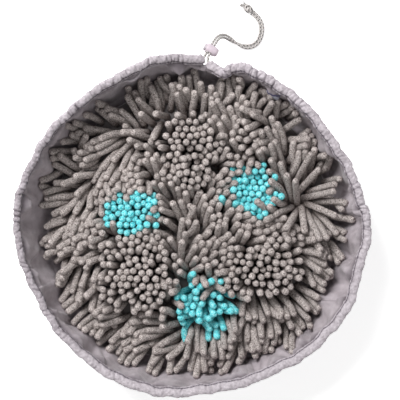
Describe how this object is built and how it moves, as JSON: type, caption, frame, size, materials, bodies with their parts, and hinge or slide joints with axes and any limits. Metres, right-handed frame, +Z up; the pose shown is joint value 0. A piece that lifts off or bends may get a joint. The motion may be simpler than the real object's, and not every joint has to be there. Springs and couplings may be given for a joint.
{
  "type": "snuffle bowl",
  "caption": "Round snuffle bowl: a mat of soft noodles in a cloth wall with a drawstring casing, spring cord lock and knotted tails.",
  "frame": {"origin": "middle of the flat underside", "axes": "+Z up, +Y towards the mouth of the drawstring casing, +X to its right seen from above"},
  "size_m": [0.4296, 0.4808, 0.0848],
  "materials": {
    "noodle_grey": "fuzzy grey chenille",
    "noodle_aqua": "fuzzy aqua chenille",
    "wall_cloth": "thin woven lilac-grey cloth",
    "casing_cloth": "thin woven lilac-grey cloth, gathered",
    "cover_cloth": "plain woven base cloth",
    "padding": "needled padding",
    "cord": "braided grey cord",
    "lock_plastic": "pale lilac moulded plastic",
    "button_plastic": "white moulded plastic",
    "spring_steel": "spring wire",
    "label_cloth": "blank woven tag"
  },
  "bodies": {
    "bowl": {"base_cover": "cover_cloth", "base_padding": "padding", "noodle_mat": "noodle_grey", "grey_round_north": "noodle_grey", "grey_round_southwest": "noodle_grey", "grey_round_southeast": "noodle_grey", "aqua_round_west": "noodle_aqua", "aqua_round_east": "noodle_aqua", "aqua_round_south": "noodle_aqua", "wall_northeast": "wall_cloth", "wall_northwest": "wall_cloth", "wall_southwest": "wall_cloth", "wall_southeast": "wall_cloth", "rim_casing": "casing_cloth", "care_label": "label_cloth", "drawstring": "cord", "tail_cord_a": "cord", "tail_cord_b": "cord", "knot": "cord"},
    "lock": {"lock_shell": "lock_plastic", "lock_spring": "spring_steel"},
    "plunger": {"lock_plunger": "button_plastic"}
  },
  "joints": [
    {"name": "lock_slide", "type": "slide", "parent": "bowl", "child": "lock", "axis": [0.3921, 0.7192, -0.5736], "range_m": [-0.001, 0.006]},
    {"name": "plunger_press", "type": "slide", "parent": "lock", "child": "plunger", "axis": [0.878, -0.4787, 0], "range_m": [0, 0.0025], "stiffness_N_per_m": 600, "springref_m": -0.002, "deforming": ["lock_spring"]}
  ]
}
